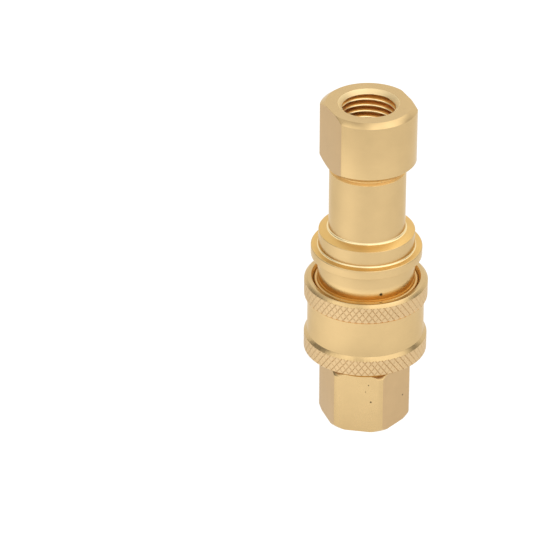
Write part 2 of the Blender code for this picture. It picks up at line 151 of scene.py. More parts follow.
def loft(name, columns, section, body, materials, pick=None, sharp=32.0):
    """A closed turned shape. section(column) gives the outline at each column, a list of (r, z) points that
    runs down the outside and up the bore. pick(column, row) chooses the material of the face there."""
    vertices = []
    rows = 0
    for column in columns:
        outline = section(column)
        rows = len(outline)
        angle = column[0]
        vertices += [(r * cos(angle) * MM, r * sin(angle) * MM, z * MM) for r, z in outline]
    count = len(columns)
    faces = []
    picks = []
    for j in range(count):
        here = j * rows
        there = (j + 1) % count * rows
        for i in range(rows):
            k = (i + 1) % rows
            faces.append((here + i, here + k, there + k, there + i))
            picks.append(pick(columns[j], i) if pick else 0)
    mesh = bpy.data.meshes.new(name)
    mesh.from_pydata(vertices, [], faces)
    mesh.polygons.foreach_set("material_index", picks)
    return finish_piece(name, mesh, body, materials, sharp)


def finish_piece(name, mesh, body, materials, sharp=32.0):
    """Makes a mesh a piece that rides a body. Edges that turn by more than sharp, in degrees, stay crisp."""
    mesh.shade_smooth()
    mesh.set_sharp_from_angle(angle=radians(sharp))
    for material in materials:
        mesh.materials.append(material)
    piece = bpy.data.objects.new(name, mesh)
    bpy.context.scene.collection.objects.link(piece)
    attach(piece, body)
    return piece


def round_columns(count):
    """Columns (angle, radius) round a turned piece, whose radius is up to its outline."""
    return [(TURN * j / count, None) for j in range(count)]


def flat_columns(flats, flat_r, rim_r, steps=16, round_step=2.5):
    """Columns (angle, radius) round a bar of radius rim_r with flats, flat_r from the axis.

    flats holds the angles of the flats' normals, in degrees. The edges between flat and round are broken,
    with a close column beside each, which keeps the shading of the broken edge narrow.
    """
    edge = acos(flat_r / rim_r)
    blend = radians(0.5)
    columns = []
    for n, flat in enumerate(flats):
        normal = radians(flat)
        gap = radians((flats[(n + 1) % len(flats)] - flat) % 360.0)
        inner = edge - blend
        turns = [inner * (2.0 * k / steps - 1.0) for k in range(steps + 1)]
        turns += [blend - inner, inner - blend]
        for turn in turns:
            columns.append(((normal + turn) % TURN, flat_r / cos(turn)))
        arc = gap - 2.0 * (edge + blend)
        count = max(2, int(degrees(arc) / round_step))
        for k in range(count + 1):
            turn = edge + blend + arc * k / count
            columns.append(((normal + turn) % TURN, rim_r))
    return sorted(columns)


def port_section(face_z, inward):
    """Points of a port's bore from its mouth inwards, at the thread's root past the mouth's chamfer.

    inward is +1 for a port that opens downwards and -1 for one that opens upwards.
    """
    flank = THREAD_PITCH / 2.0 - THREAD_HALF_CREST
    profile = [
        (PORT_MOUTH_R + 0.06, 0.0),
        (PORT_MOUTH_R - 0.02, 0.05),
        (PORT_CREST_R + 0.03, PORT_CHAMFER - 0.03),
        (PORT_CREST_R, PORT_CHAMFER + 0.03),
        (PORT_CREST_R + 0.03, PORT_CHAMFER + 0.1),
        (PORT_ROOT_R, PORT_CHAMFER + flank),
        (PORT_ROOT_R - THREAD_TAPER * PORT_THREAD_END, PORT_THREAD_END),
        (PORT_CREST_R - THREAD_TAPER * PORT_DEPTH, PORT_DEPTH),
    ]
    return [(r, face_z + inward * depth) for r, depth in profile]


def thread_ridge(name, face_z, inward, start, body, materials):
    """The ridge of a right-handed female thread. Its foot is inside the bore's wall, and it starts under the
    mouth's chamfer and sinks into the wall at its far end."""
    foot = PORT_ROOT_R + 0.2
    foot_half = THREAD_PITCH / 2.0 + 0.02
    crest = THREAD_HALF_CREST
    section = [
        (foot - PORT_CREST_R, -foot_half),
        (0.17, -crest - 0.1),
        (0.01, -crest + 0.03),
        (0.0, crest),
        (0.05, crest + 0.04),
        (foot - PORT_CREST_R, foot_half),
    ]
    per_turn = 90
    steps = int((PORT_DEPTH - PORT_CHAMFER) / THREAD_PITCH * per_turn)
    vertices = []
    for k in range(steps + 1):
        turn = k / per_turn
        angle = radians(start) + inward * TURN * turn
        middle = PORT_CHAMFER + 0.03 + THREAD_PITCH * turn
        for out, along in section:
            depth = middle + along
            r = PORT_CREST_R - THREAD_TAPER * middle + out
            vertices.append((r * cos(angle) * MM, r * sin(angle) * MM, (face_z + inward * depth) * MM))
    size = len(section)
    faces = [tuple(range(size)), tuple(steps * size + i for i in reversed(range(size)))]
    picks = [0, 0]
    for k in range(steps):
        for i in range(size):
            j = (i + 1) % size
            faces.append((k * size + i, (k + 1) * size + i, (k + 1) * size + j, k * size + j))
            # the crest rows take the second material, a painted highlight; the flanks take the first,
            # painted shade
            picks.append(1 if 1 <= i <= 3 else 0)
    mesh = bpy.data.meshes.new(name)
    mesh.from_pydata(vertices, [], faces)
    mesh.polygons.foreach_set("material_index", picks)
    shape = bmesh.new()
    shape.from_mesh(mesh)
    bmesh.ops.recalc_face_normals(shape, faces=shape.faces)
    shape.to_mesh(mesh)
    shape.free()
    return finish_piece(name, mesh, body, materials, sharp=45.0)


def wire_ring(name, mean_r, wire_r, z, body, materials, around=160, section=16, gap_deg=0.0):
    """A ring of round wire about Z. With a gap it is a split ring with rounded ends."""
    curve = bpy.data.curves.new(name, "CURVE")
    curve.dimensions = "3D"
    curve.bevel_depth = wire_r * MM
    curve.bevel_resolution = section // 4
    curve.use_fill_caps = True
    spline = curve.splines.new("POLY")
    spline.points.add(around - 1)
    spline.use_cyclic_u = gap_deg == 0.0
    sweep = radians(360.0 - gap_deg)
    for i, point in enumerate(spline.points):
        share = i / around if gap_deg == 0.0 else i / (around - 1)
        angle = radians(120.0) + radians(gap_deg) / 2.0 + sweep * share
        point.co = (mean_r * cos(angle) * MM, mean_r * sin(angle) * MM, z * MM, 1.0)
    return curve_piece(name, curve, body, materials)


def helix(name, mean_r, wire_r, low_z, high_z, turns, body, materials, per_turn=40):
    """A compression spring with a close turn at each end."""
    close_pitch = 2.0 * wire_r + 0.15
    height = high_z - low_z - 2.0 * wire_r
    open_pitch = (height - 2.0 * close_pitch) / (turns - 2.0)
    curve = bpy.data.curves.new(name, "CURVE")
    curve.dimensions = "3D"
    curve.bevel_depth = wire_r * MM
    curve.bevel_resolution = 3
    curve.use_fill_caps = True
    spline = curve.splines.new("POLY")
    steps = int(turns * per_turn)
    spline.points.add(steps)
    for i, point in enumerate(spline.points):
        turn = turns * i / steps
        opened = min(max(turn - 1.0, 0.0), turns - 2.0)
        z = low_z + wire_r + (turn - opened) * close_pitch + opened * open_pitch
        point.co = (mean_r * cos(TURN * turn) * MM, mean_r * sin(TURN * turn) * MM, z * MM, 1.0)
    return curve_piece(name, curve, body, materials)


def curve_piece(name, curve, body, materials):
    """Turns a curve into a mesh piece, with its caps welded."""
    guide = bpy.data.objects.new(name + "_curve", curve)
    bpy.context.scene.collection.objects.link(guide)
    evaluated = guide.evaluated_get(bpy.context.evaluated_depsgraph_get())
    mesh = bpy.data.meshes.new_from_object(evaluated)
    mesh.name = name
    bpy.data.objects.remove(guide)
    bpy.data.curves.remove(curve)
    mesh.materials.clear()
    return finish_piece(name, mesh, body, materials, sharp=50.0)


# ---------------------------------------------------------------- materials


class Nodes:
    """Small helper that adds and links a material's nodes."""

    def __init__(self, name):
        self.material = bpy.data.materials.new(name)
        self.material.use_nodes = True
        self.tree = self.material.node_tree
        self.shader = self.tree.nodes["Principled BSDF"]

    def add(self, kind, **settings):
        node = self.tree.nodes.new(kind)
        for key, value in settings.items():
            setattr(node, key, value)
        return node

    def link(self, source, target):
        self.tree.links.new(source, target)

    def math(self, operation, first, second=None):
        node = self.add("ShaderNodeMath", operation=operation)
        for socket, value in zip(node.inputs, (first, second)):
            if value is None:
                continue
            if isinstance(value, (int, float)):
                socket.default_value = value
            else:
                self.link(value, socket)
        return node.outputs[0]

    def noise(self, vector, scale, detail=3.0, roughness=0.5):
        node = self.add("ShaderNodeTexNoise")
        node.inputs["Scale"].default_value = scale
        node.inputs["Detail"].default_value = detail
        node.inputs["Roughness"].default_value = roughness
        self.link(vector, node.inputs["Vector"])
        return node.outputs["Fac"]

    def scaled(self, vector, scale):
        node = self.add("ShaderNodeVectorMath", operation="MULTIPLY")
        node.inputs[1].default_value = scale
        self.link(vector, node.inputs[0])
        return node.outputs[0]

    def ramp(self, value, stops):
        node = self.add("ShaderNodeValToRGB")
        elements = node.color_ramp.elements
        while len(elements) < len(stops):
            elements.new(0.5)
        for element, (position, colour) in zip(elements, stops):
            element.position = position
            element.color = (*colour, 1.0)
        self.link(value, node.inputs["Fac"])
        return node.outputs["Color"]

    def bump(self, height, strength, distance):
        node = self.add("ShaderNodeBump")
        node.inputs["Strength"].default_value = strength
        node.inputs["Distance"].default_value = distance
        self.link(height, node.inputs["Height"])
        return node.outputs["Normal"]


STREAK_SCALE = 2600.0                   # noise cells per metre across the tool marks
STREAK_LENGTH_SCALE = (40.0, 60.0)      # and along them, turned and drawn
GRAIN_SCALE = 2600.0
MOTTLE_SCALE = 260.0
PIT_COLOUR = (0.06, 0.04, 0.015, 1.0)
EDGE_TINT = (0.93, 0.88, 0.79, 1.0)     # of the brass at grazing angles


def brass(name, grain, colour=(0.6, 0.425, 0.205), roughness=0.22, marks=1.0, grit=1.0, pits=(), foot=None):
    """Satin brass. grain is 'turned' for tool marks round the axis, or 'drawn' for streaks along it.

    marks and grit scale the tool marks and the fine grain. pits holds (x, y, z, size) in millimetres, each
    the middle and the radius of a small dark pore. foot holds two heights in millimetres and a colour that
    the surface warms to from the upper height down to the lower one: a painted reflection, standing in for
    the orange light bounced low in a recess.
    """
    nodes = Nodes(name)
    position = nodes.add("ShaderNodeTexCoord").outputs["Object"]
    parts = nodes.add("ShaderNodeSeparateXYZ")
    nodes.link(position, parts.inputs[0])
    if grain == "turned":
        radius = nodes.math(
            "SQRT",
            nodes.math(
                "ADD",
                nodes.math("MULTIPLY", parts.outputs[0], parts.outputs[0]),
                nodes.math("MULTIPLY", parts.outputs[1], parts.outputs[1]),
            ),
        )
        lines = nodes.add("ShaderNodeCombineXYZ")
        nodes.link(nodes.math("MULTIPLY", radius, STREAK_SCALE), lines.inputs[0])
        nodes.link(nodes.math("MULTIPLY", parts.outputs[2], STREAK_SCALE), lines.inputs[1])
        nodes.link(nodes.math("MULTIPLY", parts.outputs[0], STREAK_LENGTH_SCALE[0]), lines.inputs[2])
        streaks = nodes.noise(lines.outputs[0], 1.0, 3.0, 0.6)
    else:
        stretch = (STREAK_SCALE, STREAK_SCALE, STREAK_LENGTH_SCALE[1])
        streaks = nodes.noise(nodes.scaled(position, stretch), 1.0, 3.0, 0.6)
    grains = nodes.noise(position, GRAIN_SCALE, 3.0, 0.55)
    mottle = nodes.noise(position, MOTTLE_SCALE, 4.0, 0.6)

    tone = nodes.ramp(
        mottle,
        [
            (0.3, tuple(0.965 * c for c in colour)),
            (0.7, tuple(min(1.0, 1.02 * c) for c in colour)),
        ],
    )
    rough = nodes.math(
        "ADD",
        nodes.math("MULTIPLY", mottle, 0.08),
        nodes.math("ADD", nodes.math("MULTIPLY", streaks, 0.08), roughness - 0.08),
    )
    height = nodes.math(
        "ADD",
        nodes.math("MULTIPLY", streaks, 1.1 * marks),
        nodes.math("MULTIPLY", grains, 0.3 * grit),
    )
    colour_out = tone
    # foot paints a reflection: a warmer colour low on the surface
    if foot:
        fade = nodes.add("ShaderNodeMapRange")
        fade.inputs["From Min"].default_value = foot[0] * MM
        fade.inputs["From Max"].default_value = foot[1] * MM
        nodes.link(parts.outputs[2], fade.inputs["Value"])
        painted_reflection_mix = nodes.add("ShaderNodeMixRGB")
        painted_reflection_mix.inputs["Color1"].default_value = (*foot[2], 1.0)
        nodes.link(fade.outputs["Result"], painted_reflection_mix.inputs["Fac"])
        nodes.link(colour_out, painted_reflection_mix.inputs["Color2"])
        colour_out = painted_reflection_mix.outputs["Color"]
    for x, y, z, size in pits:
        reach = nodes.add("ShaderNodeVectorMath", operation="DISTANCE")
        reach.inputs[1].default_value = (x * MM, y * MM, z * MM)
        nodes.link(position, reach.inputs[0])
        edge = nodes.add("ShaderNodeMapRange")
        edge.inputs["From Min"].default_value = size * 0.6 * MM
        edge.inputs["From Max"].default_value = size * 1.1 * MM
        nodes.link(reach.outputs["Value"], edge.inputs["Value"])
        mix = nodes.add("ShaderNodeMixRGB")
        mix.inputs["Color1"].default_value = PIT_COLOUR
        nodes.link(edge.outputs["Result"], mix.inputs["Fac"])
        nodes.link(colour_out, mix.inputs["Color2"])
        colour_out = mix.outputs["Color"]
    nodes.link(colour_out, nodes.shader.inputs["Base Color"])
    nodes.link(rough, nodes.shader.inputs["Roughness"])
    nodes.link(nodes.bump(height, 0.3, 0.00001), nodes.shader.inputs["Normal"])
    nodes.shader.inputs["Metallic"].default_value = 1.0
    nodes.shader.inputs["Specular Tint"].default_value = EDGE_TINT
    if grain == "turned":
        nodes.shader.inputs["Anisotropic"].default_value = 0.4
        nodes.shader.inputs["Anisotropic Rotation"].default_value = 0.25
        tangent = nodes.add("ShaderNodeTangent", direction_type="RADIAL", axis="Z")
        nodes.link(tangent.outputs[0], nodes.shader.inputs["Tangent"])
    return nodes.material


def plain(name, colour, roughness, metallic, scale, depth):
    """A plain material with a fine grain: scale is per metre, depth in metres."""
    nodes = Nodes(name)
    position = nodes.add("ShaderNodeTexCoord").outputs["Object"]
    grain = nodes.noise(position, scale, 4.0, 0.6)
    tone = nodes.ramp(grain, [(0.3, tuple(0.85 * c for c in colour)), (0.7, colour)])
    nodes.link(tone, nodes.shader.inputs["Base Color"])
    rough = nodes.math("ADD", nodes.math("MULTIPLY", grain, 0.2), roughness - 0.1)
    nodes.link(rough, nodes.shader.inputs["Roughness"])
    nodes.link(nodes.bump(grain, 0.4, depth), nodes.shader.inputs["Normal"])
    nodes.shader.inputs["Metallic"].default_value = metallic
    return nodes.material


# pores, each as the middle and the radius
NOSE_PITS = [(4.94, -9.83, 37.28, 0.42)]
HEX_PITS = [
    (2.98, -9.28, 8.2, 0.24),
    (2.39, -9.28, 12.63, 0.16),
    (1.72, -9.28, 10.8, 0.14),
    (9.28, -2.47, 6.76, 0.24),
]
NOSE_PAINTED_REFLECTION = (36.2, 38.9, (0.88, 0.63, 0.29))    # painted reflection: the nose warms to this colour where it is deep in the sleeve's mouth

turned_brass = brass("turned_brass", "turned")
nose_brass = brass("nose_brass", "turned", pits=NOSE_PITS, foot=NOSE_PAINTED_REFLECTION)
# painted highlight: a lighter, rougher brass that keeps the ports' mouth chamfers evenly bright
painted_highlight_chamfer_brass = brass("painted_highlight_chamfer_brass", "turned", colour=(0.8, 0.63, 0.35), roughness=0.55, marks=1.6)
# painted reflection: a deeper orange for the flanges' top faces, standing in for the walls they mirror
flange_top_painted_reflection_brass = brass("flange_top_painted_reflection_brass", "turned", colour=(0.72, 0.475, 0.17), roughness=0.45, marks=1.6)
# painted reflection: a lighter orange inside the sleeve's mouth, standing in for light bounced in the recess
mouth_painted_reflection_brass = brass("mouth_painted_reflection_brass", "turned", colour=(0.72, 0.47, 0.17), roughness=0.4)
# painted reflection: an orange brass for the relief under the plug's head, standing in for the light bounced
# in that corner
relief_painted_reflection_brass = brass("relief_painted_reflection_brass", "turned", colour=(0.8, 0.54, 0.22), roughness=0.5)
# painted shade: a deeper orange for the thread's flanks and the chamfer under the upper knurled band,
# standing in for light bounced in the recess
painted_shade_orange_brass = brass("painted_shade_orange_brass", "turned", colour=(0.74, 0.37, 0.09), roughness=0.3, marks=0.5)
# painted highlight: a lighter, smoother brass that draws bright lines on the thread crests and on the
# fillets at the neck's and first flange's roots
painted_highlight_brass = brass("painted_highlight_brass", "turned", colour=(0.85, 0.68, 0.38), roughness=0.25, marks=0.3)
# painted shade: a dark brown brass for surfaces deep inside the sleeve
painted_shade_brown_brass = brass("painted_shade_brown_brass", "turned", colour=(0.42, 0.19, 0.035), roughness=0.5)
drawn_brass = brass("drawn_brass", "drawn", roughness=0.26, marks=0.8, pits=HEX_PITS)
# painted shade: a darker copy of the drawn brass for every other hexagon flat and the head's wrench flats;
# it carries the same real pores
pitted_painted_shade_brass = brass("pitted_painted_shade_brass", "drawn", (0.54, 0.372, 0.194), 0.3, marks=0.9, pits=HEX_PITS)
knurl_brass = brass("knurled_brass", "drawn", colour=(0.62, 0.44, 0.235), roughness=0.3, marks=0.6)
wire_brass = brass("wire_brass", "drawn", colour=(0.66, 0.44, 0.19), roughness=0.35, marks=0.0, grit=0.5)
inner_brass = brass("inner_brass", "turned", colour=(0.6, 0.42, 0.2), roughness=0.26)
spring_steel = plain("spring_steel", (0.6, 0.6, 0.58), 0.25, 1.0, 2500.0, 0.00001)
ball_steel = plain("ball_steel", (0.72, 0.72, 0.72), 0.1, 1.0, 900.0, 0.000004)
rubber = plain("rubber", (0.022, 0.022, 0.024), 0.55, 0.0, 3000.0, 0.00002)
backup_plastic = plain("backup_plastic", (0.86, 0.85, 0.81), 0.45, 0.0, 1500.0, 0.00001)


# ---------------------------------------------------------------- visible pieces


def make_sleeve():
    """The release sleeve: knurled bands with bright chamfers, a smooth waist and a tapered mouth."""
    low, high = SLEEVE_LOW.z, SLEEVE_HIGH.z
    front_chamfer = 0.7
    mouth_r = 12.41
    stop_r, stop_z = 11.8, 35.2         # behind the wire ring
    land_r, land_z = 11.25, (28.9, 32.8)    # holds the balls in
    spring_bore_r = 12.3
    rear_band_top = WAIST_Z[0] - (SLEEVE_R - WAIST_R)
    columns = round_columns(KNURL_COUNT * KNURL_COLUMNS)

    def knurl(angle, z):
        """Radius on a band: flat-topped diamonds between two sets of helical grooves."""
        around = angle / TURN * KNURL_COUNT
        up = z / KNURL_HEIGHT
        depth = 0.0
        for turn in (around + up, around - up):
            off = abs((turn + 0.5) % 1.0 - 0.5)
            depth = max(depth, 1.0 - off / KNURL_GROOVE)
        return SLEEVE_R - KNURL_DEPTH * min(max(depth, 0.0), 1.0)

    def band(angle, top, bottom):
        """The knurl between two heights, with a plain chamfer below it."""
        bottom += BAND_CHAMFER
        count = int((top - bottom) / KNURL_HEIGHT * KNURL_ROWS)
        heights = [top + (bottom - top) * k / count for k in range(count + 1)]
        chamfer = (SLEEVE_R - BAND_CHAMFER, bottom - BAND_CHAMFER)
        return [(knurl(angle, z), z) for z in heights] + [(SLEEVE_R - 0.03, bottom - 0.03), chamfer]

    front_top = high - front_chamfer

    def section(column):
        angle = column[0]
        outline = [(mouth_r, high), (SLEEVE_R - front_chamfer - 0.04, high)]
        outline += [(SLEEVE_R - front_chamfer + 0.02, high - 0.03)]
        outline += [(SLEEVE_R - 0.04, front_top + 0.03)]
        outline += band(angle, front_top - 0.03, WAIST_Z[1])
        outline += [(WAIST_R, WAIST_Z[1]), (WAIST_R, WAIST_Z[0] + 0.06), (WAIST_R + 0.04, WAIST_Z[0] - 0.02)]
        outline += [(SLEEVE_R - 0.04, rear_band_top + 0.03)]
        outline += band(angle, rear_band_top - 0.03, low)
        outline += [(spring_bore_r + 0.4, low), (spring_bore_r + 0.1, low + 0.1)]
        outline += [(spring_bore_r, low + 0.35), (spring_bore_r, land_z[0]), (land_r, land_z[0])]
        outline += [(land_r, land_z[1]), (stop_r, stop_z), (mouth_r - 0.05, high - 0.08)]
        return outline

    upper = len(band(0.0, front_top - 0.03, WAIST_Z[1]))
    lower = len(band(0.0, rear_band_top - 0.03, low))
    rows = len(section(columns[0]))

    upper_band = range(4, upper + 1)
    # the chamfer under the upper band is painted with shade, a darker orange line
    under_upper_band = range(upper + 1, upper + 3)
    lower_band = range(upper + 8, upper + lower + 5)
    # the spring bore takes painted shade
    spring_bore = range(upper + lower + 7, upper + lower + 12)
    # the mouth's inside, painted with a lighter orange reflection
    mouth = range(rows - 4, rows)

    def pick(column, row):
        if row in upper_band or row in lower_band:
            return 1
        if row in under_upper_band:
            return 2
        if row in mouth:
            return 4
        return 3 if row in spring_bore else 0

    looks = [turned_brass, knurl_brass, painted_shade_orange_brass, painted_shade_brown_brass, mouth_painted_reflection_brass]
    piece = loft("sleeve_shell", columns, section, "sleeve", looks, pick)
    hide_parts("sleeve")


def make_adapter():
    """Hexagonal end with its threaded port. Its corners are chamfered at both ends."""
    slope = HEX_CHAMFER / (HEX_CORNER_R - HEX_FACE_R)
    flats = [30.0 + 60.0 * n for n in range(6)]
    edge = degrees(acos(WRENCH_HALF / HEX_CORNER_R))
    columns = flat_columns(flats, WRENCH_HALF, HEX_CORNER_R)

    def section(column):
        flat_r = column[1]
        drop = max(flat_r - HEX_FACE_R, 0.0) * slope
        face_r = min(HEX_FACE_R, flat_r - 0.06)
        corners = [
            (8.75, ADAPTER_HIGH.z, 0.1),
            (8.75, HEX_TOP_Z, 0.0),
            (face_r, HEX_TOP_Z, 0.04),
            (flat_r, HEX_TOP_Z - drop - 0.06, 0.06),
            (flat_r, drop + 0.06, 0.08),
            (face_r, 0.0, 0.06),
            (PORT_MOUTH_R + 0.3, 0.0, 0.0),
        ]
        outside = rounded(corners + [(6.4, 10.0, 0.0)], 2)[:-1]
        bore = port_section(0.0, 1.0)
        bore += [(4.2, PORT_DEPTH + 0.6), (4.2, 12.5), (6.4, 12.5), (6.4, ADAPTER_HIGH.z)]
        return outside + bore

    inner_points = 4                    # of the bore, past the port
    mouth_row = len(section(columns[0])) - len(port_section(0.0, 1.0)) - inner_points
    flat_row = 9                        # between the corner roundings

    def pick(column, row):
        off_flat = abs(degrees(column[0]) % 60.0 - 30.0)
        # the port's mouth chamfer, painted bright
        if row in (mouth_row, mouth_row + 1):
            return 2
        if row != flat_row or off_flat > edge:
            return 0
        # every other flat takes the darker copy, painted shade
        return 1 if round((degrees(column[0]) - 30.0) / 60.0) % 2 == 0 else 3

    looks = [turned_brass, drawn_brass, painted_highlight_chamfer_brass, pitted_painted_shade_brass]
    piece = loft("hex_adapter", columns, section, "socket", looks, pick, sharp=20.0)
    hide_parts("socket_adapter")
    thread_ridge("adapter_thread", 0.0, 1.0, THREAD_START, "socket", [painted_shade_orange_brass, painted_highlight_brass])


def make_socket_body():
    """The cylinder that enters the sleeve, with its stop-ring groove and the spring collar."""
    corners = [
        (NOSE_R, BODY_HIGH.z, 0.25),
        (NOSE_R, 35.62, 0.05),
        (10.98, 35.58, 0.0),
        (10.98, 34.45, 0.0),
        (NOSE_R, 34.41, 0.05),
        (NOSE_R, 19.5, 0.0),
        (12.0, 19.5, 0.1),
        (12.0, 18.0, 0.1),
        (10.4, 18.0, 0.0),
        (10.4, BODY_LOW.z, 0.1),
        (9.0, BODY_LOW.z, 0.0),
        (9.0, 21.0, 0.0),
        (6.4, 21.0, 0.0),
        (6.4, 21.3, 0.0),
        (4.0, 22.9, 0.1),
        (4.0, 23.9, 0.0),
        (7.15, 23.9, 0.0),
        (7.15, 24.8, 0.0),
        (9.2, 24.8, 0.0),
        (9.2, 27.8, 0.0),
        (7.15, 27.8, 0.0),
        (7.15, 41.2, 0.1),
        (7.95, BODY_HIGH.z, 0.1),
    ]
    outline = rounded(corners, 3)
    columns = round_columns(240)
    shaded_z = 20.0                     # the outside below it is deep in the sleeve and takes painted shade
    bore_r = 9.0

    def pick(column, row):
        r, z = outline[row]
        return 1 if z < shaded_z and r > bore_r else 0

    looks = [nose_brass, painted_shade_brown_brass]
    piece = loft("socket_nose", columns, lambda column: outline, "socket", looks, pick)
    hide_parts("socket_body")
    cut_ball_holes(piece)


def cut_ball_holes(piece):
    """Cuts the six ball holes, and applies the cut."""
    tools = []
    for i in range(6):
        angle = TURN * i / 6
        bpy.ops.mesh.primitive_cylinder_add(
            vertices=48,
            radius=2.46 * MM,
            depth=6.0 * MM,
            location=(9.1 * cos(angle) * MM, 9.1 * sin(angle) * MM, 31.2 * MM),
            rotation=(0.0, pi / 2.0, angle),
        )
        tool = bpy.context.object
        tools.append(tool)
        modifier = piece.modifiers.new("ball_hole", "BOOLEAN")
        modifier.operation = "DIFFERENCE"
        modifier.object = tool
    evaluated = piece.evaluated_get(bpy.context.evaluated_depsgraph_get())
    mesh = bpy.data.meshes.new_from_object(evaluated)
    piece.modifiers.clear()
    piece.data = mesh
    for tool in tools:
        bpy.data.objects.remove(tool)


def make_plug_body():
    """Neck, two flanges, and the nose with its lock groove."""
    neck_chamfer = 0.45
    neck_root_z = 48.95
    corners = [
        (NECK_R - neck_chamfer, PLUG_HIGH.z, 0.0),
        (NECK_R, PLUG_HIGH.z - neck_chamfer, 0.08),
        (NECK_R, neck_root_z, 0.5),
        (9.6, 48.75, 0.0),
        (FLANGE_1_R, 48.2, 0.14),
        (FLANGE_1_R, FLANGE_2_Z[1], 0.4),
        (FLANGE_2_R, FLANGE_2_Z[1], 0.25),
        (FLANGE_2_R, FLANGE_2_Z[0], 0.12),
        (7.0, FLANGE_2_Z[0], 0.0),
        (7.0, 33.5, 0.15),
        (5.7, 32.2, 0.3),
        (5.7, 29.75, 0.3),
        (7.0, 28.45, 0.15),
        (7.0, PLUG_LOW.z, 0.9),
        (3.4, PLUG_LOW.z, 0.1),
        (3.4, 25.4, 0.1),
        (4.6, 27.0, 0.1),
        (4.6, 39.7, 0.0),
        (6.2, 39.7, 0.0),
        (6.2, 41.55, 0.0),
        (6.95, 41.55, 0.0),
        (6.95, 42.85, 0.0),
        (6.2, 42.85, 0.0),
        (6.2, 57.3, 0.0),
        (7.3, 57.3, 0.0),
        (7.3, PLUG_HIGH.z, 0.05),
    ]
    outline = rounded(corners, 5)
    columns = round_columns(256)

    def pick(column, row):
        (r, z), (next_r, next_z) = outline[row], outline[(row + 1) % len(outline)]
        # the neck's top chamfer under the head takes the relief's painted orange reflection
        if min(z, next_z) > PLUG_HIGH.z - 0.6 and r > 8.0:
            return 2
        # the fillets at the roots of the neck and the first flange take a painted highlight line
        for root_r, root_z in ((NECK_R, neck_root_z), (FLANGE_1_R, FLANGE_2_Z[1])):
            near = root_r - 0.01 < r < root_r + 0.5 and root_z - 0.2 < z < root_z + 0.5
            if near and next_r > r and z - next_z > 0.3 * (next_r - r):
                return 3
        # the flat faces above the second flange's underside, the flange tops, take the painted reflection
        return 1 if next_r - r > 2.0 * abs(next_z - z) and z > FLANGE_2_Z[0] + 1.0 else 0

    looks = [turned_brass, flange_top_painted_reflection_brass, relief_painted_reflection_brass, painted_highlight_brass]
    piece = loft("plug_barrel", columns, lambda column: outline, "plug", looks, pick)
    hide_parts("plug_body")


def make_plug_head():
    """Port end of the plug: round with two wrench flats, chamfered at both ends."""
    top_z = HEAD_HIGH.z
    top_r = 9.58
    top_drop = 0.9
    floor_r = 9.2
    floor_rise = 1.4
    edge = degrees(acos(WRENCH_HALF / HEAD_R))
    columns = flat_columns([HEAD_TURN, HEAD_TURN + 180.0], WRENCH_HALF, HEAD_R, steps=32)

    def section(column):
        rim_r = column[1]
        drop = max(rim_r - top_r, 0.0) * top_drop / (HEAD_R - top_r)
        rise = max(rim_r - floor_r, 0.0) * floor_rise / (HEAD_R - floor_r)
        face_r = min(top_r, rim_r - 0.06)
        corners = [
            (face_r, top_z, 0.06),
            (rim_r, top_z - drop - 0.06, 0.08),
            (rim_r, HEAD_FLOOR_Z + rise, 0.08),
            (floor_r, HEAD_FLOOR_Z, 0.05),
            (8.15, HEAD_FLOOR_Z, 0.0),
            (8.15, PLUG_HIGH.z + 0.01, 0.0),
            (7.0, PLUG_HIGH.z + 0.01, 0.0),
            (7.0, 60.35, 0.0),
            (5.85, 60.35, 0.0),
            (5.85, 58.85, 0.0),
            (7.0, 58.85, 0.0),
            (7.0, HEAD_LOW.z, 0.1),
            (4.8, HEAD_LOW.z, 0.1),
            (4.8, top_z - PORT_DEPTH - 0.5, 0.0),
        ]
        outline = rounded(corners + [(PORT_CREST_R, top_z - 1.0, 0.0)], 3)[:-1]
        return outline + list(reversed(port_section(top_z, -1.0)))

    rows = len(section(columns[0]))
    flat_row = 7                        # between the corner roundings
    relief_rows = (15, 16, 17)          # the head's underside, and the wall and foot of the relief, with a painted orange reflection

    def pick(column, row):
        off_flat = abs((degrees(column[0]) - HEAD_TURN + 90.0) % 180.0 - 90.0)
        # the port's mouth chamfer, painted bright
        if row in (rows - 3, rows - 2):
            return 2
        if row in relief_rows:
            return 3
        # the wrench flats take the darker copy, painted shade
        return 1 if row == flat_row and off_flat < edge else 0

    looks = [turned_brass, pitted_painted_shade_brass, painted_highlight_chamfer_brass, relief_painted_reflection_brass]
    piece = loft("port_head", columns, section, "plug", looks, pick, sharp=26.0)
    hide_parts("plug_head")
    thread_ridge("head_thread", top_z, -1.0, THREAD_START, "plug", [painted_shade_orange_brass, painted_highlight_brass])


def make_rings_and_springs():
    """The wire ring in the sleeve's mouth, and the sleeve's spring, on a body of its own."""
    mean_r, wire_r, z = 11.33, 0.46, 35.3
    stop = wire_ring("stop_ring_wire", mean_r, wire_r, z, "socket", [wire_brass], gap_deg=4.0)
    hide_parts("sleeve_stop_ring")
    mean_r, wire_r, turns = 11.65, 0.4, 4.5
    spring = helix(
        "sleeve_spring_wire", mean_r, wire_r, SPRING_LOW.z, SPRING_HIGH.z, turns,
        "sleeve_spring", [spring_steel],
    )
    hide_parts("sleeve_spring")
    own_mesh(spring)


def dress_inner_nodes():
    """Materials of the CAD pieces that stay."""
    looks = {
        "locking_ball": ball_steel,
        "socket_valve_spring": spring_steel,
        "plug_valve_spring": spring_steel,
        "guide_retaining_ring": spring_steel,
        "socket_poppet_seal": rubber,
        "plug_poppet_seal": rubber,
        "probe_seal": rubber,
        "adapter_seal": rubber,
        "head_seal": rubber,
        "backup_ring": backup_plastic,
    }
    for name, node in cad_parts.items():
        material = inner_brass
        for start, look in looks.items():
            if name.startswith(start):
                material = look
        node.data.materials.clear()
        node.data.materials.append(material)


make_sleeve()
make_adapter()
make_socket_body()
make_plug_body()
make_plug_head()
make_rings_and_springs()
dress_inner_nodes()


